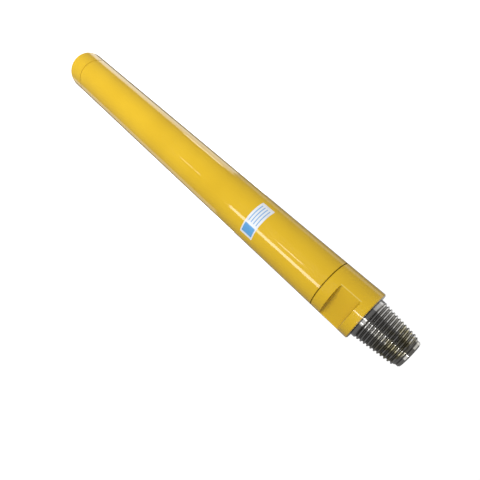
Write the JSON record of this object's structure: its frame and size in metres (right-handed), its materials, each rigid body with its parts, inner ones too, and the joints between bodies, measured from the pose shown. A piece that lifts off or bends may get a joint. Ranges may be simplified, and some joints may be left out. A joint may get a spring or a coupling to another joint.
{
  "type": "down-the-hole hammer",
  "caption": "Down-the-hole rock drilling hammer: a yellow painted tube with a splined bit chuck, a sliding piston, a sprung check valve, wrench flats and a bare tapered pin thread.",
  "frame": {"origin": "centre of the chuck's lower face, on which the hammer stands", "axes": "+Z along the hammer's axis towards the threaded pin, Y through the two wrench flats"},
  "size_m": [0.1016, 0.1016, 1.0719],
  "materials": {
    "yellow_paint": "gloss",
    "bare_steel": "turned",
    "ground_steel": "ground",
    "spring_steel": "oil blackened",
    "bronze": "turned",
    "seal_rubber": "matte",
    "valve_polymer": "matte",
    "label_film": "gloss"
  },
  "bodies": {
    "casing": {"chuck": "yellow_paint", "wear_sleeve": "yellow_paint", "backhead": "yellow_paint", "backhead_o_ring": "seal_rubber", "check_valve_spring": "spring_steel", "disc_spring_upper": "spring_steel", "disc_spring_lower": "spring_steel", "make_up_ring": "bare_steel", "air_distributor": "bare_steel", "distributor_o_ring": "seal_rubber", "choke_plug": "bronze", "feed_tube": "bare_steel", "feed_tube_o_ring": "seal_rubber", "inner_cylinder": "bare_steel", "inner_cylinder_o_ring": "seal_rubber", "piston_retaining_ring": "spring_steel", "guide_bush": "bronze", "guide_bush_o_ring": "seal_rubber", "bit_retainer_left": "ground_steel", "bit_retainer_right": "ground_steel", "bit_retainer_o_ring": "seal_rubber"},
    "piston": {"piston": "ground_steel"},
    "check_valve": {"check_valve": "valve_polymer", "check_valve_seal": "seal_rubber"}
  },
  "joints": [
    {"name": "piston_slide", "type": "slide", "parent": "casing", "child": "piston", "axis": [0, 0, 1], "range_m": [0, 0.13]},
    {"name": "check_valve_slide", "type": "slide", "parent": "casing", "child": "check_valve", "axis": [0, 0, -1], "range_m": [0, 0.012], "stiffness_N_per_m": 1500, "springref_m": -0.012, "deforming": ["check_valve_spring"]}
  ]
}
